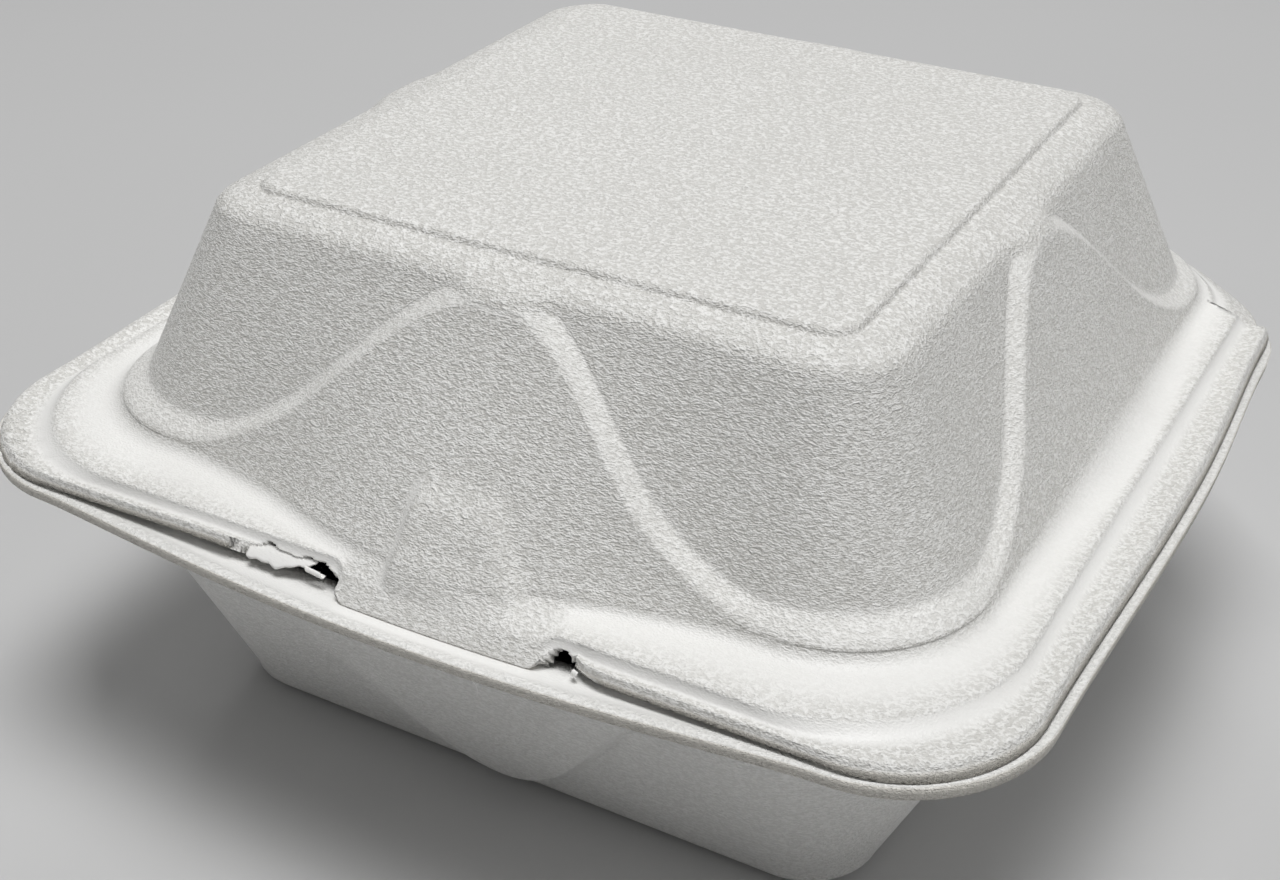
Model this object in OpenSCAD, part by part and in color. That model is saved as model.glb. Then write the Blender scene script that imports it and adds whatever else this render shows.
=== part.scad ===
// Foam clamshell container: a square take-away box moulded from one foam sheet.
// A flared tray and a domed lid are joined along the back by a creased hinge.
// Frame: +Z up, the latch faces -Y, the tray stands on z = 0, millimetres.

/* [Sheet] */
// Thickness of the foam sheet
sheet = 2.2; // [1.6:0.1:2.4]
// Thickness left where the sheet is crushed into the hinge crease
crease_t = 0.7; // [0.5:0.1:1]
// Thickness of the rims, which are pressed thinner than the walls
rim_t = 1.6; // [1.2:0.1:1.8]
// Height of the smooth step that runs as a wave around every wall
wave_step = 1.6; // [0.8:0.1:1.7]
// Height over which the wave step blends in
wave_blend = 3; // [2.8:0.1:4]

/* [Tray] */
// Height of the tray to the top of its rim
tray_h = 44.6; // [36:0.2:56]
// Width across the rim at its corners, left to right
rim_w = 148; // [146:1:152]
// Middle of the container to the front of the rim at its corners
rim_front = 73.8; // [73.4:0.1:74.8]
// How far the front of the rim bows out in its middle
front_bow = 3.9; // [3:0.1:4.4]
// How far the two sides bow out in their middle
side_bow = 1.5; // [0:0.1:2]
// Corner radius of the rim
rim_r = 19.5; // [17:0.5:22]
// Depth of the groove inside the front of the rim, where the lid's skirt and tongue sit
groove_depth = 2.4; // [1.6:0.1:2.8]
// Size across the foot of the walls, both ways
foot_w = 97.6; // [92:0.2:102]
// Slope of the tray's walls from upright, degrees
tray_slope = 24.8; // [23:0.1:26]
// Corner radius at the foot
foot_r = 10; // [8:0.5:14]
// Radius of the bottom edge
bottom_r = 4.5; // [3.5:0.5:6]
// Width of the flat ring that the tray stands on
foot_ring = 5; // [3:0.5:8]
// How far the bottom panel lies above that ring
bottom_recess = 1; // [0.6:0.1:1.4]

/* [Lid] */
// Height of the lid from the parting line to the top of its crown
lid_h = 31.4; // [28:0.2:40]
// Gap between the two rims when shut
parting_gap = 0.25; // [0.2:0.05:0.5]
// How far the lid's side edges stay inside the tray's rim
edge_inset = 1.2; // [0.8:0.1:2]
// Middle of the container to the lid's front skirt
skirt_front = 73.2; // [72.6:0.1:73.4]
// Radius with which the front skirt turns down from the ledge
skirt_r = 2.3; // [2:0.1:2.6]
// Height of the ledge above the flange
ledge_rise = 1.45; // [1:0.05:1.8]
// Width of the flange outside the ledge, at the sides
flange_w = 5.2; // [4.5:0.1:6]
// Corner radius of the ledge
ledge_r = 24; // [22:0.5:26]
// Size across the crown where the walls begin
crown_w = 96; // [94:0.2:99]
// Slope of the lid's walls from upright, degrees
lid_slope = 24.8; // [23:0.1:26]
// Corner radius of the crown
crown_r = 12.5; // [11:0.5:14]
// Radius of the crown's outer edge
crown_edge = 2.6; // [2.2:0.1:3.4]
// Size across the sunken top panel
panel_w = 81; // [76:0.2:82]
// Depth of the sunken top panel
panel_drop = 1.1; // [0.6:0.1:1.4]

/* [Latch] */
// Half the gap that the latch takes in the lid's skirt
latch_half = 24; // [23:0.5:26]
// Half the width of the tongue as moulded
tongue_half = 20; // [19:0.5:21]
// Left end of what remains of the tongue after the tear
tongue_tear = -8; // [-12:0.5:-6]
// How far the tongue reaches below the tray's rim
tongue_reach = 1.6; // [1:0.1:2.4]
// Half the width of the ramp that stiffens the tongue
ramp_half = 8; // [7:0.5:9]
// How far the ramp stands out of the wall's foot
ramp_out = 2.2; // [1:0.1:2.4]

/* [Hinge] */
// Middle of the container to the hinge crease
hinge_back = 73.4; // [72.4:0.1:74.6]
// How much of the rims is left at the two back corners
corner_share = 0.2; // [0.14:0.02:0.3]

/* [Hidden] */

// The box of the whole container is centred on the origin, front to back
centre_shift = (rim_front + front_bow - hinge_back) / 2;

// Places around a ring: [side, kind, value], sides front, right, back, left
// kinds: 0 towards the side's start, 1 middle (mm), 2 towards its end, 3 corner (degrees)
middle_marks = [-latch_half, -tongue_half, -14, tongue_tear, -3, 3, ramp_half, 14, tongue_half, latch_half];
end_marks = [0.3, 0.55, 0.81, 1];
corner_marks = [15, 30, 45, 60, 75];
places = [
    for (side = [0 : 3]) each [
        for (i = [len(end_marks) - 1 : -1 : 0]) [side, 0, end_marks[i]],
        for (m = middle_marks) [side, 1, m],
        for (e = end_marks) [side, 2, e],
        for (a = corner_marks) [side, 3, a]
    ]
];
count = len(places);

// A ring is [half width, front, back, front corner radius, back corner radius]
function grown(ring, d, dr = 0) = [ring[0] + d, ring[1] + d, ring[2] + d, ring[3] + dr, ring[4] + dr];
function blended(a, b, t) = a + (b - a) * t;

// The point of a ring at one place, bowed outwards along the front and the sides.
// The front's bow fades later towards the corners than that of the sides.
front_fade = 1.3;
side_fade = 2;
function ring_point(place, ring, z, bow_front = 0, bow_side = 0) =
    let (
        side = place[0],
        front = ring[1] - ring[3],
        back = ring[2] - ring[4],
        out = [ring[1], ring[0], ring[2], ring[0]][side],
        start = [ring[0] - ring[3], front, ring[0] - ring[4], back][side],
        end = [ring[0] - ring[3], back, ring[0] - ring[4], front][side],
        r = [ring[3], ring[4], ring[4], ring[3]][side],
        bow = [bow_front, bow_side, 0, bow_side][side],
        fade = side == 0 ? front_fade : side_fade,
        along = place[1] == 0 ? -blended(latch_half, start, place[2])
            : place[1] == 1 ? place[2]
            : place[1] == 2 ? blended(latch_half, end, place[2])
            : end + r * sin(place[2]),
        share = along / (along < 0 ? start : end),
        reach = place[1] == 3 ? out - r + r * cos(place[2]) : out + bow * max(0, 1 - share ^ 2) ^ fade
    )
    side == 0 ? [along, -reach, z]
    : side == 1 ? [reach, along, z]
    : side == 2 ? [-along, reach, z]
    : [-reach, -along, z];

// How far up the wave has run at a place: 1 in the middle of a side, 0 at its ends
wave_half = 39;
function side_pos(place) =
    place[1] == 1 ? place[2]
    : place[1] == 3 ? wave_half
    : blended(latch_half, wave_half, place[2]);
function wave(place) = (1 + cos(180 * min(1, abs(side_pos(place)) / wave_half))) / 2;

// Share of the front and of the back in a place's flange section
function front_share(place) =
    place[0] == 0 ? (place[1] < 3 ? 1 : 1 - place[2] / 90)
    : place[0] == 3 && place[1] == 3 ? place[2] / 90
    : 0;

// The hinge lip runs along the back and this many degrees round its two corners
lip_turn = corner_marks[0];
function on_lip(place) =
    place[0] == 2 && (place[1] < 3 || place[2] <= lip_turn)
    || place[0] == 1 && place[1] == 3 && place[2] >= 90 - lip_turn;
function back_share(place) = on_lip(place) ? 1 : 0;

// Share of the lid's rim left at a place: it is trimmed away at the two back corners
function at_back_corner(place) =
    (place[0] == 1 || place[0] == 2) && place[1] == 3 && !on_lip(place);
function rim_share(place) = at_back_corner(place) ? corner_share : 1;
// The tray's rim is trimmed there too, but a tapered ear of it is left next to each side
ear_turn = 15;
ear_taper = 30;
function side_turn(place) = place[0] == 1 ? place[2] : 90 - place[2];
function trimmed(place) =
    at_back_corner(place) ? smooth((side_turn(place) - ear_turn) / ear_taper) : 0;
function drawn_in(point, foot, share, z) =
    [foot.x + (point.x - foot.x) * share, foot.y + (point.y - foot.y) * share, z];

// The step's share at a height: 1 on the side of the wave that stands out, 0 on the other
function smooth(t) = let (c = min(1, max(0, t))) c * c * (3 - 2 * c);
function clamped(v, low, high) = min(high, max(low, v));

// The tray, seen from outside: rows run from the edge of the rim down to the bottom panel
rim_under = tray_h - rim_t;
foot_line = [foot_w / 2, foot_w / 2, foot_w / 2, foot_r, foot_r];
tray_r_gain = 0.53;
// The rim's back corners start where the wall's corners do
tray_back_end = foot_w / 2 - foot_r + tray_h * (tan(tray_slope) - tray_r_gain) + wave_step;
rim_ring = [rim_w / 2, rim_front, hinge_back, rim_r, rim_w / 2 - tray_back_end];
tray_wave_low = 3;
tray_wave_high = 40;
bottom_turn = 90 - tray_slope;
bottom_tangent = bottom_r * tan(bottom_turn / 2);

function tray_wave(place) = blended(tray_wave_high, tray_wave_low, wave(place));
function tray_out(place, z) = wave_step * smooth(0.5 + (z - tray_wave(place)) / wave_blend);
function tray_ring(z, out) = grown(foot_line, z * tan(tray_slope) + out, z * tray_r_gain);
function tray_wall(place, z) = ring_point(place, tray_ring(z, tray_out(place, z)), z);

// The rim's section: share of the way from its edge to the wall, and how much it follows the bow
rim_rows = [0, 0.28, 0.5, 0.94];
rim_bow = [1, 1, 0.9, 0.3];
rim_dips = [0, 0.04, 0.92, 1];
bead_low = 0.5;
function groove(place) = blended(bead_low, groove_depth, front_share(place));
function wall_top_z(place) = rim_under - groove(place) - 1.6;

function rim_height(place, i) =
    blended(
        rim_under - groove(place) * rim_dips[i] + back_share(place) * (1 - rim_rows[i]) * (rim_t - crease_t),
        blended(tray_h - 0.3, wall_top_z(place), i / len(rim_rows)),
        trimmed(place)
    );
function rim_point(place, i) =
    let (
        z = rim_height(place, i),
        top = tray_ring(wall_top_z(place), wave_step),
        ring = blended(rim_ring, top, rim_rows[i])
    )
    drawn_in(
        ring_point(place, ring, z, front_bow * rim_bow[i], side_bow * (1 - rim_rows[i])),
        tray_wall(place, wall_top_z(place)),
        blended(1, corner_share, trimmed(place)),
        z
    );

function tray_rows(place) =
    let (
        z_wave = tray_wave(place),
        top = wall_top_z(place),
        low = bottom_tangent * cos(tray_slope),
        low_out = tray_out(place, low),
        foot = grown(foot_line, -bottom_tangent)
    )
    [
        for (i = [0 : len(rim_rows) - 1]) rim_point(place, i),
        tray_wall(place, top),
        tray_wall(place, clamped(z_wave + wave_blend / 2, low + 3, top - 1)),
        tray_wall(place, clamped(z_wave, low + 2, top - 2)),
        tray_wall(place, clamped(z_wave - wave_blend / 2, low + 1, top - 3)),
        tray_wall(place, low),
        ring_point(place, grown(foot, bottom_r * sin(bottom_turn / 2) + low_out / 2),
            bottom_r * (1 - cos(bottom_turn / 2))),
        ring_point(place, foot, 0),
        ring_point(place, grown(foot, -foot_ring, -foot_ring / 2), 0),
        ring_point(place, grown(foot, -foot_ring - 1.5, -foot_ring / 2), bottom_recess)
    ];

// The lid, seen from outside: rows run from its trimmed edge up to the sunken top panel
lid_z = tray_h + parting_gap;
flange_z = lid_z + rim_t;
ledge_z = flange_z + ledge_rise;
crown_z = tray_h + lid_h;
edge_half = rim_w / 2 - edge_inset;
ledge_back = 68;
crown_ring = [crown_w / 2, crown_w / 2, crown_w / 2, crown_r, crown_r];
crown_turn = 90 - lid_slope;
crown_tangent = crown_edge * tan(crown_turn / 2);
crown_low = crown_z - crown_tangent * cos(lid_slope);

// The wall's ring at a height, moved out by the wave step; its corners open out downwards
wall_r_gain = 0.34;
lid_back_end = crown_w / 2 - crown_r + (crown_low - ledge_z) * (tan(lid_slope) - wall_r_gain) + wave_step;
ledge_half = edge_half - flange_w;
lid_edge = [edge_half, skirt_front, hinge_back, rim_r - edge_inset, edge_half - lid_back_end];
lid_ledge = [ledge_half, skirt_front - skirt_r, ledge_back, ledge_r, ledge_half - lid_back_end];
function lid_ring(z, out) =
    grown(crown_ring, (crown_low - z) * tan(lid_slope) + out, (crown_low - z) * wall_r_gain);
function lid_wave(place) = blended(lid_wave_low, lid_wave_high, wave(place));
function lid_out(place, z) = wave_step * smooth(0.5 + (lid_wave(place) - z) / wave_blend);
function lid_wall(place, z) = ring_point(place, lid_ring(z, lid_out(place, z)), z);

// The concave foot of the lid's walls is wide in mid-wall and tight at the corners
foot_tight = 3;
foot_wide = 7.5;
lid_wave_low = ledge_z + 3.2;
lid_wave_high = crown_z - 1.2;

// Flange section at the sides: share of the way from edge to ledge, and height above the edge
flange_rows = [0, 0.22, 0.45, 0.62, 0.8, 1];
flange_heights = [0, 0.24, 0.05, 0.1, 0.6, 1] * ledge_rise;
// Along the front the sheet turns down from the ledge by these angles and ends as a skirt
turn_angles = [90, 90, 60, 32, 14, 0];
skirt_low = lid_z + 0.15;
// The hinge lip thins down to the crease; at the back corners the edge slants straight down
lip_low = lid_z + crease_t;
corner_low = lid_z + 0.3;

function skirt_height(i) = i == 0 ? skirt_low : ledge_z - skirt_r * (1 - cos(turn_angles[i]));
function flange_height(place, i) =
    back_share(place) > 0 ? blended(lip_low, ledge_z, flange_rows[i])
    : blended(flange_z + flange_heights[i], skirt_height(i), front_share(place));
function flange_point(place, i) =
    let (
        t = blended(flange_rows[i], 1 - sin(turn_angles[i]), front_share(place)),
        ring = blended(lid_edge, lid_ledge, t)
    )
    ring_point(place, ring, flange_height(place, i), 0, side_bow * (1 - t));

// The tongue tucks down inside the bead of the tray's rim, clear of it
tongue_clear = 0.6;
bead_inside = rim_front - 3.1;
bead_slope = 0.68;
tongue_low = [tray_h - tongue_reach, tray_h - tongue_reach / 3];
tongue_r = 2.4;
function tongue_point(place, i) =
    let (
        z = i < 2 ? tongue_low[i] : ledge_z - tongue_r * (1 - cos(turn_angles[i - 1])),
        turned = i < 2 ? 0 : tongue_r * (1 - sin(turn_angles[i - 1])),
        reach = bead_inside - tongue_clear + bead_slope * min(0, z - tray_h) - turned
    )
    ring_point(place, [edge_half, reach, hinge_back, rim_r, rim_r], z, front_bow);

function on_front(place, low, high) =
    place[0] == 0 && place[1] == 1 && place[2] >= low && place[2] <= high;
function is_tongue(place) = on_front(place, -tongue_half, tongue_half);
function ramp(place) = on_front(place, -5, 5) ? 1 : on_front(place, -ramp_half, ramp_half) ? 0.6 : 0;

// Where the back corners are trimmed, the flange is a short straight slant below the wall's foot
function slant_point(place, foot, i) =
    blended(drawn_in(flange_point(place, 0), foot, rim_share(place), corner_low), foot, i / (len(flange_rows) + 1));

function lid_rows(place) =
    let (
        z_wave = lid_wave(place),
        foot_r = blended(foot_tight, foot_wide, wave(place)),
        tangent = foot_r * tan(crown_turn / 2),
        foot_z = ledge_z + tangent * cos(lid_slope),
        foot_ring = lid_ring(ledge_z, lid_out(place, foot_z)),
        foot_mid = ring_point(place,
            grown(foot_ring, tangent - foot_r * sin(crown_turn / 2) + ramp_out * ramp(place)),
            ledge_z + foot_r * (1 - cos(crown_turn / 2)) + 0.4 * ramp(place)),
        foot_low = ring_point(place, grown(foot_ring, tangent), ledge_z),
        cut_back = rim_share(place) < 1,
        crown_out = lid_out(place, crown_low),
        crown_top = grown(crown_ring, (crown_low - crown_z) * tan(lid_slope) - crown_tangent)
    )
    [
        for (i = [0 : len(flange_rows) - 1])
            is_tongue(place) ? tongue_point(place, i)
                : cut_back ? slant_point(place, foot_mid, i)
                : flange_point(place, i),
        cut_back ? slant_point(place, foot_mid, len(flange_rows)) : foot_low,
        foot_mid,
        lid_wall(place, foot_z),
        lid_wall(place, clamped(z_wave - wave_blend / 2, foot_z + 0.6, crown_low - 2.4)),
        lid_wall(place, clamped(z_wave, foot_z + 1.4, crown_low - 1.6)),
        lid_wall(place, clamped(z_wave + wave_blend / 2, foot_z + 2.2, crown_low - 0.8)),
        lid_wall(place, crown_low),
        ring_point(place, grown(crown_top, crown_edge * sin(crown_turn / 2) + crown_out / 2),
            crown_z - crown_edge * (1 - cos(crown_turn / 2))),
        ring_point(place, grown(crown_top, 0, -1), crown_z),
        ring_point(place, grown(crown_ring, (panel_w - crown_w) / 2 + 1.5, -5), crown_z - 0.25),
        ring_point(place, grown(crown_ring, (panel_w - crown_w) / 2, -6.5), crown_z - panel_drop)
    ];

// Sheet thickness at a place: the rims are thinner and the hinge lips are crushed
function tray_thickness(place, row) =
    row >= len(rim_rows) ? sheet
    : back_share(place) > 0 ? blended(crease_t, rim_t, rim_rows[row])
    : rim_t;
function lid_thickness(place, row) =
    row > len(flange_rows) ? sheet
    : back_share(place) > 0 ? blended(crease_t, rim_t, row / len(flange_rows))
    : rim_t;

// The normal of a grid of points, one list of rows per place; the closing panel's edge is level
function unit(v) = v / norm(v);
function grid_normal(grid, k, j) =
    let (
        last = len(grid[k]) - 1,
        ahead = unit(grid[(k + 1) % count][j] - grid[k][j]),
        behind = unit(grid[k][j] - grid[(k + count - 1) % count][j]),
        up = j < last ? unit(grid[k][j + 1] - grid[k][j]) : [0, 0, 0],
        down = j > 0 ? unit(grid[k][j] - grid[k][j - 1]) : [0, 0, 0]
    )
    j == last ? [0, 0, 1] : unit(cross(ahead + behind, up + down));

// A sheet between a grid of outer points and one of inner points, closed by a flat panel.
// Columns listed in cut are left out up to cut_rows; flip turns it inside out for the tray.
module sheet_body(outer, inner, flip = false, cut = [], cut_rows = 0) {
    rows = len(outer[0]);
    cells = rows - 1;
    half = count * rows;
    function id(k, j) = (k % count) * rows + j;
    function there(k, j) =
        j >= 0 && (j >= cut_rows || len(search((k + count) % count, cut)) == 0);
    function corners(k, j) = [id(k, j), id(k + 1, j), id(k + 1, j + 1), id(k, j + 1)];
    function wall(a, b) = [[a, b, b + half], [a, b + half, a + half]];
    function cell_faces(k, j) =
        let (c = corners(k, j))
        [
            [c[0], c[2], c[1]],
            [c[0], c[3], c[2]],
            [c[0] + half, c[1] + half, c[2] + half],
            [c[0] + half, c[2] + half, c[3] + half],
            each there(k, j - 1) ? [] : wall(c[0], c[1]),
            each there(k - 1, j) ? [] : wall(c[3], c[0]),
            each there(k + 1, j) ? [] : wall(c[1], c[2])
        ];
    faces = [
        for (k = [0 : count - 1], j = [0 : cells - 1]) if (there(k, j)) each cell_faces(k, j),
        for (k = [0 : count - 1]) each [
            [2 * half, id(k + 1, cells), id(k, cells)],
            [2 * half + 1, id(k, cells) + half, id(k + 1, cells) + half]
        ]
    ];
    middle = [[0, 0, outer[0][cells].z], [0, 0, inner[0][cells].z]];
    polyhedron(
        points = [for (g = outer) each g, for (g = inner) each g, each middle],
        faces = flip ? [for (f = faces) [for (i = [len(f) - 1 : -1 : 0]) f[i]]] : faces
    );
}

module tray() {
    outer = [for (p = places) tray_rows(p)];
    inner = [
        for (k = [0 : count - 1]) [
            for (j = [0 : len(outer[k]) - 1])
                let (p = outer[k][j] + tray_thickness(places[k], j) * grid_normal(outer, k, j))
                [p.x, p.y, min(p.z, tray_h)]
        ]
    ];
    color("whitesmoke")
        translate([0, centre_shift, 0])
            sheet_body(outer, inner, flip = true);
}

// Columns that the latch leaves open: the slot right of the tongue, and the slot and tear left of it
function in_slot(k) =
    on_front(places[k], -latch_half, tongue_tear - 0.1) || on_front(places[k], tongue_half, latch_half - 0.1);

module lid() {
    outer = [for (p = places) lid_rows(p)];
    inner = [
        for (k = [0 : count - 1]) [
            for (j = [0 : len(outer[k]) - 1])
                let (p = outer[k][j] - lid_thickness(places[k], j) * grid_normal(outer, k, j))
                is_tongue(places[k]) ? p : [p.x, p.y, max(p.z, lid_z)]
        ]
    ];
    slots = [for (k = [0 : count - 1]) if (in_slot(k)) k];
    color("white")
        translate([0, centre_shift, 0])
            sheet_body(outer, inner, cut = slots, cut_rows = len(flange_rows) - 1);
}

tray();
lid();
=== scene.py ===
# A square foam take-away box, shut, on a pale studio floor.
import math

import bpy
import numpy as np
from mathutils import Matrix, Vector


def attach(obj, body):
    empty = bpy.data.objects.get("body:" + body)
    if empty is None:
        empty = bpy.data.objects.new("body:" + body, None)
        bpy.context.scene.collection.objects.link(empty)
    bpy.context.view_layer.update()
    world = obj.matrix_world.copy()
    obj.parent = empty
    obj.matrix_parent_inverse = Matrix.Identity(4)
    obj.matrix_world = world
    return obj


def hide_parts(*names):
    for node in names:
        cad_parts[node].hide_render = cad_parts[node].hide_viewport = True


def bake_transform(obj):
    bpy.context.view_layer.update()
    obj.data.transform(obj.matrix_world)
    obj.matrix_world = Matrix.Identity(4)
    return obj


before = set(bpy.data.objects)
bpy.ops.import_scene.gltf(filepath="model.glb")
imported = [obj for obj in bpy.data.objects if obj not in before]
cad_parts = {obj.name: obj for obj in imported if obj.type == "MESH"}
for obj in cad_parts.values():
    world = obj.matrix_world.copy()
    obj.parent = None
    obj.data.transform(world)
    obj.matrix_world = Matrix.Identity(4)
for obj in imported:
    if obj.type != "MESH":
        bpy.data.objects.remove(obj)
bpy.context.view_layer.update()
mm = 0.001

# The shot: the camera stands to the right of the latch and looks down on the box from
# close by, so that the box fills the picture.
eye = Vector((0.107335, -0.206777, 0.172009))
camera_right = Vector((0.872084, 0.489338, 0.004262))
camera_up = Vector((-0.274072, 0.481190, 0.832671))
camera_back = Vector((0.405407, -0.727327, 0.553752))
camera = bpy.data.objects.new("camera", bpy.data.cameras.new("camera"))
camera.data.sensor_width = 36.0
camera.data.lens = 51.555
camera.data.shift_x = 0.0066
camera.data.shift_y = 0.0592
camera.data.clip_start = 0.01
axes = (camera_right, camera_up, camera_back)
camera_rows = [(*[axis[i] for axis in axes], eye[i]) for i in range(3)]
camera.matrix_world = Matrix([*camera_rows, (0, 0, 0, 1)])
bpy.context.scene.collection.objects.link(camera)
bpy.context.scene.camera = camera
bpy.context.scene.view_settings.view_transform = "Standard"

# The tray: the flared lower half, pressed from soft foam sheet. It stands on a flat ring,
# its walls carry a step that dips as a wave, and its rim has a groove along the front.
sheet = 2.2
rim_sheet = 1.6
crease = 0.7
tray_height = 44.6
wave_step = 1.8
wave_blend = 2.4
latch_half = 24.0
hinge_back = 73.4
centre_shift = 2.15
rim_half = 74.0
rim_front = 73.8
rim_round = 19.5
front_bow = 3.9
side_bow = 1.5
corner_share = 0.2
tray_slope = math.radians(24.8)


def stations(side, middle, ends, corner):
    """Places along one side and round the corner after it: (side, kind, value)."""
    shares = np.linspace(0, 1, ends + 1)[1:]
    turns = np.radians(np.linspace(0, 90, corner + 2)[1:-1])
    return (
        [(side, 0, s) for s in shares[::-1]]
        + [(side, 1, m) for m in np.linspace(-latch_half, latch_half, middle)]
        + [(side, 2, s) for s in shares]
        + [(side, 3, a) for a in turns]
    )


round_trip = (
    stations(0, 97, 24, 28)
    + stations(1, 33, 20, 28)
    + stations(2, 29, 16, 28)
    + stations(3, 29, 18, 72)
)
side = np.array([p[0] for p in round_trip])
kind = np.array([p[1] for p in round_trip])
value = np.array([p[2] for p in round_trip])
columns = len(round_trip)


def ring(half, front, back, front_round, back_round, front_out=0.0, side_out=0.0):
    """The x and y of a rounded square at every station, bowed out along its front and sides."""
    front_end, back_end = front - front_round, back - back_round
    out = np.choose(side, [front, half, back, half])
    start = np.choose(side, [half - front_round, front_end, half - back_round, back_end])
    end = np.choose(side, [half - front_round, back_end, half - back_round, front_end])
    turn = np.choose(side, [front_round, back_round, back_round, front_round])
    bow = np.choose(side, [front_out, side_out, 0.0, side_out])
    along = np.select(
        [kind == 0, kind == 1, kind == 2],
        [-(latch_half + (start - latch_half) * value), value, latch_half + (end - latch_half) * value],
        end + turn * np.sin(value),
    )
    share = along / np.where(along < 0, start, end)
    fade = np.where(side == 0, 1.3, 2.0)
    bowed = out + bow * (1 - np.minimum(share**2, 1)) ** fade
    reach = np.where(kind == 3, out - turn + turn * np.cos(value), bowed)
    return np.choose(side, [along, reach, -along, -reach]), np.choose(side, [-reach, along, reach, -along])


def placed(xy, z):
    return np.stack([xy[0], xy[1], np.broadcast_to(z, xy[0].shape)], axis=-1)


def through(q, at, values):
    """A smooth curve through some values, read at q."""
    at, values = np.asarray(at, float), np.asarray(values, float)
    slope = np.gradient(values, at)
    i = np.clip(np.searchsorted(at, q) - 1, 0, len(at) - 2)
    h = at[i + 1] - at[i]
    u = (q - at[i]) / h
    rising = values[i + 1] * u * u * (3 - 2 * u) + h * slope[i + 1] * u * u * (u - 1)
    return rising + values[i] * (1 + 2 * u) * (1 - u) ** 2 + h * slope[i] * u * (1 - u) ** 2


def smooth(t):
    t = np.clip(t, 0, 1)
    return t * t * (3 - 2 * t)


def eased(t, soft=0.3):
    """A straight ramp from 0 to 1 with two short round ends."""
    t = np.clip(t, 0, 1)
    low = t * t / (2 * soft * (1 - soft))
    high = 1 - (1 - t) ** 2 / (2 * soft * (1 - soft))
    return np.where(t < soft, low, np.where(t > 1 - soft, high, (t - soft / 2) / (1 - soft)))


wave_half = 39.0
past_latch = latch_half + (wave_half - latch_half) * value
side_pos = np.select([kind == 1, kind == 3], [np.abs(value), wave_half], past_latch)
wave = (1 + np.cos(np.pi * np.minimum(1, side_pos / wave_half))) / 2
front_share = np.select(
    [(side == 0) & (kind < 3), (side == 0) & (kind == 3), (side == 3) & (kind == 3)],
    [1.0, 1 - value / (math.pi / 2), value / (math.pi / 2)],
    0.0,
)
front_share = smooth(front_share)
lip_turn = math.radians(15)
on_lip = (side == 2) & ((kind < 3) | (value <= lip_turn))
on_lip |= (side == 1) & (kind == 3) & (value >= math.pi / 2 - lip_turn)
back_corner = ((side == 1) | (side == 2)) & (kind == 3) & ~on_lip
side_turn = np.degrees(np.where(side == 1, value, math.pi / 2 - value))

foot_half = 48.8
foot_round = 10.0
round_gain = 0.53
rim_under = tray_height - rim_sheet
side_groove = 0.3
front_groove = 0.6
groove = side_groove + (front_groove - side_groove) * front_share
rim_fall = 1.6
wall_top = rim_under - groove - rim_fall
tray_wave_high = 40
tray_wave_low = 3
tray_wave = tray_wave_high + (tray_wave_low - tray_wave_high) * wave
tray_back_end = foot_half - foot_round + tray_height * (math.tan(tray_slope) - round_gain) + wave_step


def tray_ring(z, out):
    half = foot_half + z * math.tan(tray_slope) + out
    turn = foot_round + z * round_gain
    return half, half, half, turn, turn


def tray_wall(z):
    out = wave_step * eased(0.5 + (z - tray_wave) / wave_blend)
    return placed(ring(*tray_ring(z, out)), z)


def wave_levels(start, end, middle, up, counts):
    """Heights along a wall from start to end, gathered where its wave step lies."""
    near = up * np.clip(up * middle - wave_blend / 2, up * start + 0.2, up * end - 0.8)
    far = up * np.clip(up * middle + wave_blend / 2, up * near + 0.3, up * end - 0.2)
    levels = []
    for a, b, count in zip((start, near, far), (near, far, end), counts):
        levels += [a + (b - a) * i / count for i in range(1, count + 1)]
    return levels


rim_rows = 34
across_rim = np.linspace(0, 1, rim_rows)
top_foot = tray_wall(wall_top)
trim_start = 10
trim_blend = 20
trimmed = back_corner * smooth((side_turn - trim_start) / trim_blend)
rim_outer = (rim_half, rim_front, hinge_back, rim_round, rim_half - tray_back_end)
rim_inner = tray_ring(wall_top, wave_step)
trim_level = tray_height - 0.3
tray_rows = []
for q in across_rim:
    dip = through(q, [0, 0.05, 0.14, 0.3, 0.45, 0.58, 0.8, 1], [0.1, 0, 0.04, 0.38, 0.76, 0.97, 1, 1])
    fall = through(q, [0, 0.5, 0.8, 0.94, 1], [0, 0, 0.05, 0.5, 1])
    bow = through(q, [0, 0.28, 0.5, 0.94, 1], [1, 1, 0.9, 0.3, 0])
    z = rim_under - groove * dip - rim_fall * fall + on_lip * (1 - q) * (rim_sheet - crease)
    line = [a + (b - a) * q for a, b in zip(rim_outer, rim_inner)]
    point = placed(ring(*line, front_bow * bow, side_bow * (1 - q)), z)
    drawn = top_foot + (point - top_foot) * (1 + (corner_share - 1) * trimmed)[:, None]
    slant = trim_level + (wall_top - trim_level) * q
    drawn[:, 2] = point[:, 2] + (slant - point[:, 2]) * trimmed
    tray_rows.append(drawn)
bottom_round = 4.5
bottom_turn = math.pi / 2 - tray_slope
bottom_tangent = bottom_round * math.tan(bottom_turn / 2)
wall_low = bottom_tangent * math.cos(tray_slope)
for z in wave_levels(wall_top, wall_low, tray_wave, -1, (16, 10, 22)):
    tray_rows.append(tray_wall(z))
low_out = wave_step * eased(0.5 + (wall_low - tray_wave) / wave_blend)
foot_edge = foot_half - bottom_tangent
for a in np.linspace(bottom_turn, 0, 9)[1:]:
    grown = bottom_round * math.sin(a) + low_out * math.sin(a) / math.sin(bottom_turn)
    line = (foot_edge + grown,) * 3 + (foot_round, foot_round)
    tray_rows.append(placed(ring(*line), bottom_round * (1 - math.cos(a))))
standing_ring = ((2.5, 0), (5, 0), (5.4, 0.1), (5.8, 0.5), (6.2, 0.9), (6.7, 1))
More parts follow.
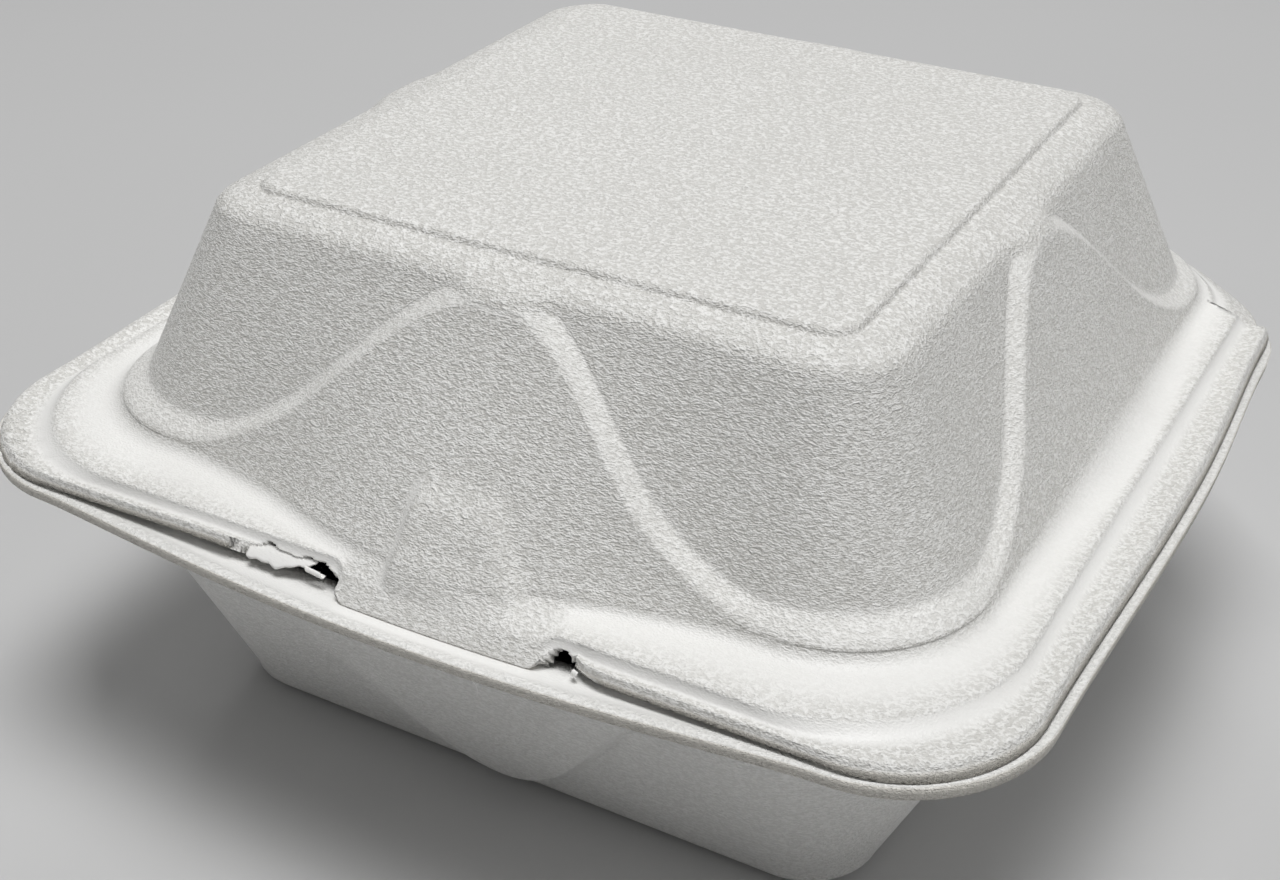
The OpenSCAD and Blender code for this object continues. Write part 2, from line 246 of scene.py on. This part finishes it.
for inward, z in standing_ring:
    line = (foot_edge - inward,) * 3 + (foot_round - inward / 2, foot_round - inward / 2)
    tray_rows.append(placed(ring(*line), z))
bottom_shares = (0.8, 0.6, 0.4, 0.2)
for share in bottom_shares:
    shrink = share / (share + 0.2)
    tray_rows.append(tray_rows[-1] * (shrink, shrink, 1))
tray_out = np.array(tray_rows)
tray_sheet = np.full((len(tray_out), columns), sheet)
tray_sheet[:rim_rows] = rim_sheet
lip_sheet = crease + (rim_sheet - crease) * across_rim[:, None]
tray_sheet[:rim_rows] = np.where(on_lip, lip_sheet, tray_sheet[:rim_rows])


def sheet_normals(grid, spread):
    """Normals of a grid of rows, smoothed along the section."""
    along = np.roll(grid, -1, axis=1) - np.roll(grid, 1, axis=1)
    across = np.gradient(grid, axis=0)
    normal = np.cross(along, across)
    normal /= np.maximum(np.linalg.norm(normal, axis=2, keepdims=True), 1e-9)
    for _ in range(spread):
        padded = np.concatenate([normal[:1], normal, normal[-1:]])
        normal = padded[:-2] + 2 * normal + padded[2:]
        normal /= np.linalg.norm(normal, axis=2, keepdims=True)
    return normal


def pressed_sheet(name, outer, inner, inner_rows, gone, flip, grain):
    """One closed mesh of foam sheet: outer and inner grids, trimmed edges and two middle fans.
    gone marks the cells that are torn or cut away, grain how far the cells show at each point."""
    rows = len(outer)
    inner_id = np.full(rows, -1)
    inner_id[inner_rows] = np.arange(len(inner_rows))
    points = np.concatenate([outer.reshape(-1, 3), inner[inner_rows].reshape(-1, 3)])
    middles = [outer[-1].mean(axis=0), inner[-1].mean(axis=0)]
    points = np.concatenate([points, middles])
    base = rows * columns
    after = np.roll(np.arange(columns), -1)
    faces = []

    def cells(first, second, offset_first, offset_second, keep):
        k = np.nonzero(keep)[0]
        a, b = offset_first + first * columns, offset_second + second * columns
        return np.stack([a + k, a + after[k], b + after[k], b + k], axis=1)

    for j in range(rows - 1):
        faces.append(cells(j, j + 1, 0, 0, ~gone[j]))
    for i, j in zip(inner_rows[:-1], inner_rows[1:]):
        quads = cells(inner_id[i], inner_id[j], base, base, ~gone[i])
        faces.append(quads[:, ::-1])
    for j in range(rows - 1):
        here = ~gone[j]
        below = gone[j - 1] if j else np.ones(columns, bool)
        k = np.nonzero(here & below)[0]
        if len(k):
            low, high = j * columns, base + inner_id[j] * columns
            faces.append(np.stack([low + k, high + k, high + after[k], low + after[k]], axis=1))
        if not gone[j].any():
            continue
        up = base + inner_id[j + 1] * columns
        low, high = j * columns, base + inner_id[j] * columns
        k = np.nonzero(here & np.roll(gone[j], 1))[0]
        faces.append(np.stack([low + k, low + columns + k, up + k, high + k], axis=1))
        k = after[np.nonzero(here & np.roll(gone[j], -1))[0]]
        faces.append(np.stack([low + k, high + k, up + k, low + columns + k], axis=1))
    quads = np.concatenate(faces)
    k = np.arange(columns)
    top, under = (rows - 1) * columns, base + inner_id[rows - 1] * columns
    fans = np.concatenate(
        [
            np.stack([top + k, top + after[k], np.full(columns, len(points) - 2)], axis=1),
            np.stack([under + after[k], under + k, np.full(columns, len(points) - 1)], axis=1),
        ]
    )
    if flip:
        quads, fans = quads[:, ::-1], fans[:, ::-1]
    used = np.unique(np.concatenate([quads.ravel(), fans.ravel()]))
    renumber = np.full(len(points), -1)
    renumber[used] = np.arange(len(used))
    mesh = bpy.data.meshes.new(name)
    shifted = (points[used] + (0, centre_shift, 0)) * mm
    mesh.from_pydata(shifted.tolist(), [], renumber[quads].tolist() + renumber[fans].tolist())
    mesh.shade_smooth()
    edge = np.zeros((rows, columns))
    edge[0] = 1
    for key, values in (("grain", grain), ("cut", edge)):
        spread = np.concatenate([values.ravel(), values[inner_rows].ravel(), [values[-1, 0]] * 2])
        mesh.attributes.new(key, "FLOAT", "POINT").data.foreach_set("value", spread[used].astype(np.float32))
    piece = bpy.data.objects.new(name, mesh)
    bpy.context.scene.collection.objects.link(piece)
    return piece


tray_in = tray_out + tray_sheet[:, :, None] * sheet_normals(tray_out, 6)
tray_in[:, :, 2] = np.minimum(tray_in[:, :, 2], tray_height)
flat_rows = len(bottom_shares) + 1
tray_in[-flat_rows:] = tray_out[-flat_rows:] + (0, 0, sheet)
tray_kept = [*range(rim_rows), *range(rim_rows, len(tray_out) - 1, 2), len(tray_out) - 1]
whole = np.zeros((len(tray_out), columns), bool)
tray_grain = np.ones((len(tray_out), columns))
rim_grain = through(across_rim, [0, 0.16, 0.26, 0.6, 1], [1, 0.9, 0.15, 0.15, 0.6])
tray_grain[:rim_rows] = rim_grain[:, None]
tray = pressed_sheet("foam_tray", tray_out, tray_in, tray_kept, whole, True, tray_grain)


class Wire:
    """A shader socket whose sums, differences and products add Math nodes."""

    def __init__(self, shader, socket):
        self.shader, self.socket = shader, socket

    def joined(self, operation, first, second):
        return self.shader.node("ShaderNodeMath", {"operation": operation}, {0: first, 1: second})

    def __add__(self, other):
        return self.joined("ADD", self, other)

    def __radd__(self, other):
        return self.joined("ADD", other, self)

    def __sub__(self, other):
        return self.joined("SUBTRACT", self, other)

    def __rsub__(self, other):
        return self.joined("SUBTRACT", other, self)

    def __mul__(self, other):
        return self.joined("MULTIPLY", self, other)

    def __rmul__(self, other):
        return self.joined("MULTIPLY", other, self)


class Finish:
    """A material whose nodes are added, and sockets fed, by name."""

    def __init__(self, name):
        self.material = bpy.data.materials.new(name)
        self.material.use_nodes = True
        self.tree = self.material.node_tree
        self.surface = self.tree.nodes["Principled BSDF"]

    def feed(self, socket, given):
        if isinstance(given, Wire):
            self.tree.links.new(given.socket, socket)
        else:
            socket.default_value = given

    def node(self, sort, settings, sockets, output=0):
        made = self.tree.nodes.new(sort)
        for key, setting in settings.items():
            setattr(made, key, setting)
        for key, given in sockets.items():
            self.feed(made.inputs[key], given)
        return Wire(self, made.outputs[output])


def foam(name, white, shade):
    """Soft white foam: flattened cells drawn out along the sheet, with small glints and painted shade in the
    cells' hollows.
    """
    finish = Finish(name)
    place = finish.node("ShaderNodeTexCoord", {}, {}, 3)
    grain = finish.node("ShaderNodeAttribute", {"attribute_name": "grain"}, {}, 2)
    cut = finish.node("ShaderNodeAttribute", {"attribute_name": "cut"}, {}, 2)
    cells_at = finish.node("ShaderNodeVectorMath", {"operation": "MULTIPLY"}, {0: place, 1: (560, 760, 1100)})
    waves = finish.node(
        "ShaderNodeTexNoise", {}, {"Vector": cells_at, "Scale": 2.5, "Detail": 1.0, "Distortion": 0.6}
    )
    beads = finish.node("ShaderNodeTexNoise", {}, {"Vector": cells_at, "Scale": 5.2, "Detail": 1.0})
    clouds = finish.node("ShaderNodeTexNoise", {}, {"Vector": cells_at, "Scale": 0.07, "Detail": 3.0})
    height = 0.55 * waves * grain + 0.45 * beads * (0.3 + 0.7 * grain) + cut * beads
    normal = finish.node("ShaderNodeBump", {}, {"Strength": 1.0, "Distance": 0.00045, "Height": height})
    # Painted shade: the flecks darken the base colour where the cells lie low. This is partly the foam's own
    # grain and partly painted shade of the cells, and grain sets how strong it is.
    fleck_and_cell_shade = finish.node(
        "ShaderNodeMapRange",
        {"clamp": True},
        {0: 0.62 * waves + 0.38 * beads, 1: 0.43, 2: 0.58, 3: 0.0, 4: 1.0},
    )
    lit = 1.0 - grain * (1.0 - fleck_and_cell_shade) * 0.85 - 0.35 * (1.0 - clouds)
    mixing = {"data_type": "RGBA", "clamp_factor": True}
    tint = finish.node("ShaderNodeMix", mixing, {0: lit, 6: shade, 7: white}, 2)
    cut_tint = (0.84, 0.8, 0.72, 1)
    trim = finish.node("ShaderNodeMix", mixing, {0: cut * 0.7, 6: tint, 7: cut_tint}, 2)
    finish.feed(finish.surface.inputs["Base Color"], trim)
    finish.feed(finish.surface.inputs["Roughness"], 0.3 + 0.25 * beads + 0.25 * cut)
    finish.feed(finish.surface.inputs["Normal"], normal)
    return finish.material


tray.data.materials.append(foam("tray_foam", (0.96, 0.955, 0.935, 1), (0.8, 0.795, 0.77, 1)))
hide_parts("tray")
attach(tray, "tray")

# The lid: the domed upper half of the same sheet. It has a raised top panel, a wave step in
# each wall, a beaded flange at the sides and a short flange in front, cut away at the latch.
rim_gap = 0.25
lid_low = tray_height + rim_gap
flange_level = lid_low + rim_sheet
ledge_rise = 1.45
ledge_level = flange_level + ledge_rise
crown_level = 76.0
edge_inset = 1.2
edge_half = rim_half - edge_inset
flange_width = 5.2
ledge_half = edge_half - flange_width
lid_front = 73.2
ledge_front = 70.9
ledge_back = 68.9
ledge_round = 24.0
crown_half = 48.1
crown_round = 9.5
lid_slope = math.radians(24.8)
crown_turn = math.pi / 2 - lid_slope
crown_low = 74.2
lid_gain = 0.36
lid_wave_low = ledge_level + 2.9
lid_wave_high = crown_level - 0.7
lid_wave = lid_wave_low + (lid_wave_high - lid_wave_low) * wave
lid_back_end = 40.5
lid_edge = (edge_half, lid_front, hinge_back, rim_round - edge_inset, edge_half - lid_back_end)
lid_ledge = (ledge_half, ledge_front, ledge_back, ledge_round, ledge_half - lid_back_end)
front_x = np.where((side == 0) & (kind < 3), ring(*lid_edge)[0], np.nan)
near_x = np.nan_to_num(front_x, nan=99.0)
slot_left, tongue_left, tongue_right, slot_right = -24.0, -8.0, 20.0, 24.5
tongue_blend = 3
tongue = eased((near_x - tongue_left) / tongue_blend + 0.5)
tongue = tongue * eased((tongue_right - near_x) / tongue_blend + 0.5)
corner_foot = 2.5
foot_gain = np.where(side == 0, -0.1, 3.3)
foot_round_lid = corner_foot + foot_gain * wave
front_bulge = 8.2
other_bulge = 1.0
bulge = np.where(side == 0, front_bulge, other_bulge) * wave


def lid_ring(z, out, grown):
    """The walls' ring at a height; inside each wave the wall flares out towards its foot."""
    flare = bulge * np.clip((crown_low - z) / (crown_low - ledge_level), 0, 1) ** 1.3
    half = crown_half + (crown_low - z) * math.tan(lid_slope) + flare + out + grown
    turn = crown_round + (crown_low - z) * lid_gain
    return half, half, half, turn, turn


def lid_step(z):
    return wave_step * eased(0.5 + (lid_wave - z) / wave_blend)


foot_tangent = foot_round_lid * math.tan(crown_turn / 2)
foot_high = ledge_level + foot_tangent * math.cos(lid_slope)
foot_step = lid_step(foot_high)
pad_left = eased((near_x + 3.6) / 2.2)
pad_right = 8.44
pad_spread = 0.8
pad_top = 57.1
pad_thick = 1.6
pad_blend = 2


def pad_out(z):
    """How far the thumb pad stands out of the wall; it widens to the right as it runs down."""
    right = pad_right + pad_spread * (pad_top - z)
    across = pad_left * eased((right - near_x) / pad_blend)
    return pad_thick * across * eased((pad_top - z) / pad_blend)


tongue_steep = 0.75


def foot_point(a):
    """The round foot of the walls at a turn; above the tongue it keeps steep."""
    a = a + (crown_turn - a) * tongue_steep * tongue
    z = ledge_level + foot_round_lid * (1 - np.cos(a))
    grown = foot_tangent - foot_round_lid * np.sin(a)
    return placed(ring(*lid_ring(ledge_level, foot_step, grown + pad_out(z))), z)


flange_rows = 30
across_flange = np.linspace(0, 1, flange_rows)
ear_turn = 8
lid_corner = back_corner & (side_turn > ear_turn)
slant_foot = foot_point(crown_turn / 2)
ear_share = 0.5 + 0.34 * (1 - smooth((side_turn - ear_turn) / 36))
ear_lift = 0.3
ear_reach = 0.85

# The front left corner is wrinkled, the torn end of the flange stands up a little, and the
# flange right of the latch begins with a round nose.
wrinkle_depth = 0.9
wrinkled = ((side == 3) & (kind == 3)) * smooth((value - 0.35) / 0.25) * (1 - smooth((value - 1.0) / 0.4))
ripples = -np.abs(np.sin(value * 21 + 0.8 * np.sin(value * 9))) ** 8
tear_lift = 0.6
tear_spread = 15
raised = tear_lift * np.exp(-(((near_x - slot_left + 2) / tear_spread) ** 2))
nose_long = 5
nose_deep = 0.55
nose = np.clip((slot_right + nose_long - near_x) / nose_long, 0, 1) * (near_x > slot_right - 0.7)
nose = nose_deep * (1 - np.sqrt(1 - np.minimum(nose, 0.999) ** 2))
tongue_front = rim_front - 3.4
tongue_at = [0, 0.2, 0.35, 0.5, 0.65, 0.8, 1]
lid_rows = []
for q in across_flange:
    across_side = through(
        q, [0, 0.06, 0.2, 0.42, 0.58, 0.76, 0.92, 1], [-0.7, 0.1, 0.5, 0.2, 0.05, 0.45, 1.22, 1.45]
    )
    across_front = through(q, [0, 0.08, 0.3, 0.5, 0.6, 0.9, 1], [-0.8, -0.1, 0.1, 0.12, 0.25, 1.25, 1.45])
    z = flange_level + across_side + (across_front - across_side) * front_share
    z = z + raised * (1 - q) + wrinkle_depth * wrinkled * ripples * (1 - smooth((q - 0.2) / 0.6))
    z = np.where(on_lip, lid_low + crease + (ledge_level - lid_low - crease) * q, z)
    drawn = q + (1 - q) * nose
    line = [a + (b - a) * drawn for a, b in zip(lid_edge, lid_ledge)]
    point = placed(ring(*line, 0.0, side_bow * (1 - q)), z)
    tongue_z = ledge_level + through(q, tongue_at, [-3.72, -3.45, -3.1, -2.7, -2.28, -1.85, -1.3])
    tongue_in = through(q, tongue_at, [-0.1, 0, 0.2, 0.5, 0.85, 1.25, 1.75])
    tongue_line = (edge_half, tongue_front - tongue_in, hinge_back, rim_round, rim_round)
    tongue_point = placed(ring(*tongue_line, front_bow), tongue_z)
    slant = slant_foot + (placed(ring(*lid_edge), lid_low) - slant_foot) * ear_share[:, None]
    slant[:, 2] = lid_low + ear_lift
    slant = slant + (slant_foot - slant) * q * ear_reach
    point = np.where(lid_corner[:, None], slant, point)
    lid_rows.append(point + (tongue_point - point) * tongue[:, None])
foot_low = foot_point(0.0)
ledge_line = lid_rows[-1]
ledge_shares = (0.25, 0.5, 0.75, 1.0)
for t in ledge_shares:
    flat = ledge_line + (foot_low - ledge_line) * t
    slant = ledge_line + (slant_foot - ledge_line) * t * 0.5
    lid_rows.append(np.where(lid_corner[:, None], slant, flat))
foot_start = lid_rows[-1]
for a in np.linspace(0, crown_turn, 11)[1:]:
    point = foot_point(a)
    low = np.minimum(1.0, a / (crown_turn / 2))
    slant = foot_start + (slant_foot - foot_start) * low
    lid_rows.append(np.where(lid_corner[:, None] & (a < crown_turn / 2), slant, point))
below_rows, ridge_rows, above_rows = 18, 10, 18
for z in wave_levels(foot_high, crown_low, lid_wave, 1, (below_rows, ridge_rows, above_rows)):
    lid_rows.append(placed(ring(*lid_ring(z, lid_step(z), pad_out(z))), z))

# From the walls over the round crown down to the crease, and up on to the panel, as half widths
# and heights. The panel is a little narrower than it is deep, and its corners are sharper.
crown_step = lid_step(crown_low)
crown_section = (
    (47.75, 74.75), (47.3, 75.3), (46.7, 75.75), (45.9, 76.1), (44.9, 76.42),
    (43.9, 76.68), (43.1, 76.84), (42.7, 76.86), (42.5, 76.94), (42.35, 77.2),
    (42.2, 77.45), (41.9, 77.64), (41.4, 77.75), (40.4, 77.8), (38.6, 77.8),
)
step_end = 46
panel_half = 42.5
panel_round = 4
panel_pinch = 0.7
for half, z in crown_section:
    grown = crown_step * np.clip((half - step_end) / (crown_half - step_end), 0, 1)
    pinched = panel_pinch * min(1.0, (crown_half - half) / 5)
    turn = panel_round + (crown_round - panel_round) * max(0.0, half - panel_half) / 6
    lid_rows.append(placed(ring(half - pinched + grown, half + grown, half + grown, turn, turn), z))
panel_shares = (0.84, 0.68, 0.52, 0.36, 0.2)
for share in panel_shares:
    shrink = share / (share + 0.16)
    lid_rows.append(lid_rows[-1] * (shrink, shrink, 1))
lid_out = np.array(lid_rows)
lid_sheet = np.full((len(lid_out), columns), sheet)
lid_sheet[: flange_rows + len(ledge_shares)] = rim_sheet
lip_sheet = crease + (rim_sheet - crease) * across_flange[:, None]
lid_sheet[:flange_rows] = np.where(on_lip, lip_sheet, lid_sheet[:flange_rows])
lid_in = lid_out - lid_sheet[:, :, None] * sheet_normals(lid_out, 8)

# Beside the tongue the trimmed edge stands upright, and the sheet rests on the rim below it.
off_tongue = tongue < 0.01
edge_rows = 4
upright = off_tongue & ~on_lip & ~lid_corner
lid_in[:edge_rows, upright, :2] = lid_out[:edge_rows, upright, :2] * 1.002
lowest = tray_height + 0.05 - 0.45 * front_share
lid_in[:, :, 2] = np.where(off_tongue, np.maximum(lid_in[:, :, 2], lowest), lid_in[:, :, 2])
flat_rows = len(panel_shares) + 1
lid_in[-flat_rows:] = lid_out[-flat_rows:] - (0, 0, sheet)
fine_rows = flange_rows + 8
lid_kept = [*range(fine_rows), *range(fine_rows, len(lid_out) - 1, 2), len(lid_out) - 1]

# The tear left of the tongue has a ragged edge, and the slot right of it is round.
cell_x = np.nan_to_num((front_x + np.roll(front_x, -1)) / 2, nan=99.0)
slot_deep = 0.62
torn = slot_deep + 0.07 * np.sin(cell_x * 0.9) + 0.03 * np.sin(cell_x * 2.3 + 1.0)
torn = torn * np.minimum(1, 0.2 + (cell_x - slot_left) / 6)
slot_middle = 22.2
slot_half = 2.5
slot = slot_deep * np.sqrt(np.clip(1 - ((cell_x - slot_middle) / slot_half) ** 2, 0, 1))
lid_gone = np.zeros((len(lid_out), columns), bool)
for j in range(flange_rows):
    in_tear = (cell_x > slot_left) & (cell_x < tongue_left) & (j < torn * flange_rows)
    in_slot = (cell_x > tongue_right - 0.3) & (cell_x < slot_right) & (j < slot * flange_rows)
    lid_gone[j] = in_tear | in_slot

# The cells show less in the grooves, on the ledge and on the ridge of the wave, and most on top, where they
# also carry the most painted shade.
lid_grain = np.ones((len(lid_out), columns))
side_grain = through(across_flange, [0, 0.6, 0.74, 0.9, 0.96, 1], [0.9, 0.8, 0.1, 0.1, 0.8, 0.9])
front_grain = through(across_flange, [0, 0.45, 0.58, 0.84, 0.94, 1], [0.9, 0.9, 0.1, 0.1, 0.7, 0.9])
lid_grain[:flange_rows] = side_grain[:, None] + (front_grain - side_grain)[:, None] * front_share
lid_grain[:flange_rows] += (0.9 - lid_grain[:flange_rows]) * tongue
foot_grain = np.array([0.7, 0.35, 0.15, 0.12, 0.1, 0.1, 0.12, 0.15, 0.2, 0.3, 0.45, 0.6, 0.8, 0.95])
foot = slice(flange_rows, flange_rows + len(foot_grain))
lid_grain[foot] = foot_grain[:, None]
lid_grain[foot] += (0.9 - lid_grain[foot]) * tongue * 0.9
crown_rows = len(crown_section) + len(panel_shares)
lid_grain[-crown_rows:] = 1.25
ridge = foot.stop + below_rows
lid_grain[ridge : ridge + ridge_rows] = 0.7
flank = 4 * pad_left * (1 - pad_left) * (lid_out[:, :, 2] < 56) * (lid_out[:, :, 2] > 47)
lid_grain *= 1 - 0.85 * flank
lid = pressed_sheet("foam_lid", lid_out, lid_in, lid_kept, lid_gone, False, lid_grain)
# The lid's dark fleck colour is deeper than the tray's, which puts more painted shade in its cells, strongest
# on the top panel.
lid.data.materials.append(foam("lid_foam", (0.97, 0.965, 0.945, 1), (0.7, 0.69, 0.66, 1)))
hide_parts("lid")
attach(lid, "lid")

# The scraps of the tear: thin skins of foam that still hang on the torn edge of the lid, a curl
# at the right end of the latch and a stretched hair under the tray's rim.
skin_thick = 0.2
hair_thick = 0.1
curl_radius = 0.4
curl_turns = 4.4
film_left = -21.5
film_width = 9.5
film_root = (-71.3, 46.7)


def scrap(name, grid, thick, finish):
    """A thin closed piece of foam skin from a grid of points."""
    rows, across = grid.shape[:2]
    lift = np.cross(np.gradient(grid, axis=1), np.gradient(grid, axis=0))
    lift *= thick / np.maximum(np.linalg.norm(lift, axis=2, keepdims=True), 1e-9)
    points = np.concatenate([grid.reshape(-1, 3), (grid + lift).reshape(-1, 3)])
    k = np.arange(rows * across).reshape(rows, across)
    sheet_cells = np.stack([k[:-1, :-1], k[:-1, 1:], k[1:, 1:], k[1:, :-1]], axis=-1).reshape(-1, 4)
    border = np.concatenate([k[0, :-1], k[:-1, -1], k[-1, :0:-1], k[:0:-1, 0]])
    after = np.roll(border, -1)
    edge = np.stack([border, border + rows * across, after + rows * across, after], axis=1)
    quads = np.concatenate([sheet_cells, sheet_cells[:, ::-1] + rows * across, edge])
    mesh = bpy.data.meshes.new(name)
    mesh.from_pydata(((points + (0, centre_shift, 0)) * mm).tolist(), [], quads.tolist())
    mesh.shade_smooth()
    mesh.materials.append(finish)
    piece = bpy.data.objects.new(name, mesh)
    bpy.context.scene.collection.objects.link(piece)
    return piece


along, down = np.meshgrid(np.linspace(0, 1, 40), np.linspace(0, 1, 8))
film_x = film_left + film_width * along
film_long = 1.9 + 0.45 * np.sin(along * 5) + 0.2 * np.sin(along * 13 + 1) + 0.1 * np.sin(along * 29)
film_fall = down * np.clip(film_long, 0.2, 3) * np.minimum(1, 5 * (1 - along) + 0.2)
film_y = film_root[0] - 0.95 * film_fall
film_z = film_root[1] - 0.3 * film_fall - 0.1 * film_fall**2
film = np.stack([film_x, film_y, film_z], axis=-1)
curl_y = curl_radius * np.sin(curl_turns * down)
curl_z = curl_radius * np.cos(curl_turns * down) - 0.3 * along
left_curl = np.stack([-13.0 + 2.2 * along + 0.5 * down, -72.5 - curl_y, 46.1 + curl_z], axis=-1)
right_curl = np.stack([24.3 + 0.6 * along - 0.5 * down, -72.9 - curl_y, 45.35 + curl_z], axis=-1)
for name, grid in (
    ("torn_film", film),
    ("torn_curl_left", left_curl),
    ("torn_curl_right", right_curl),
):
    piece = scrap(name, grid, skin_thick, lid.data.materials[0])
    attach(piece, "lid")
hair_x = 13.5 + 0.12 * along + 0.3 * np.sin(down * 4)
hair_grid = np.stack([hair_x, -77.3 + 1.2 * down, 43.0 - 3.4 * down], axis=-1)
hair = scrap("torn_hair", hair_grid, hair_thick, tray.data.materials[0])
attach(hair, "tray")

# The crease: the crushed skin of the same foam sheet, which joins the back lips of tray and lid.
skin_x, skin_turn = np.meshgrid(np.linspace(-46.6, 46.6, 60), np.radians(np.linspace(-90, 90, 13)))
skin_y = hinge_back - 0.35 + 0.75 * np.cos(skin_turn) + 0.04 * np.sin(skin_x * 2.1)
skin_grid = np.stack([skin_x, skin_y, 44.725 + 0.95 * np.sin(skin_turn)], axis=-1)
skin = scrap("crease_skin", skin_grid, skin_thick, tray.data.materials[0])
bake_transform(skin)

# The floor: a plain pale sheet of studio paper, laid flat and eight metres wide.
floor_mesh = bpy.data.meshes.new("floor")
floor_mesh.from_pydata([(-4, -4, 0), (4, -4, 0), (4, 4, 0), (-4, 4, 0)], [], [(0, 1, 2, 3)])
floor = bpy.data.objects.new("floor", floor_mesh)
bpy.context.scene.collection.objects.link(floor)
paper = Finish("floor_paper")
grain = paper.node("ShaderNodeTexNoise", {}, {"Scale": 40.0, "Detail": 2.0})
paper_dark = (0.57, 0.57, 0.57, 1)
paper_light = (0.61, 0.61, 0.61, 1)
paper_mix = {0: grain, 6: paper_dark, 7: paper_light}
paper_tint = paper.node("ShaderNodeMix", {"data_type": "RGBA"}, paper_mix, 2)
paper.feed(paper.surface.inputs["Base Color"], paper_tint)
paper.feed(paper.surface.inputs["Roughness"], 0.9)
floor_mesh.materials.append(paper.material)

# The light: a broad soft box overhead, slightly to the right, a weak fill from the right, a weak
# strip from behind on the left and a dim even surround.
for name, spot, aim, size, power in (
    ("soft_box", (0.06, -0.06, 1.15), (0, 0, 0.04), 0.55, 9.3),
    ("side_fill", (1.1, -0.1, 0.5), (0, 0, 0.04), 0.6, 1.1),
    ("back_strip", (-0.6, 1.0, 0.75), (0, 0, 0.06), 0.35, 2.0),
):
    lamp = bpy.data.lights.new(name, "AREA")
    lamp.size = size
    lamp.energy = power
    holder = bpy.data.objects.new(name, lamp)
    holder.location = spot
    holder.rotation_euler = (Vector(aim) - Vector(spot)).to_track_quat("-Z", "Y").to_euler()
    bpy.context.scene.collection.objects.link(holder)
surround = bpy.data.worlds.new("surround")
surround.use_nodes = True
surround.node_tree.nodes["Background"].inputs["Color"].default_value = (1, 1, 1, 1)
surround.node_tree.nodes["Background"].inputs["Strength"].default_value = 0.17
bpy.context.scene.world = surround
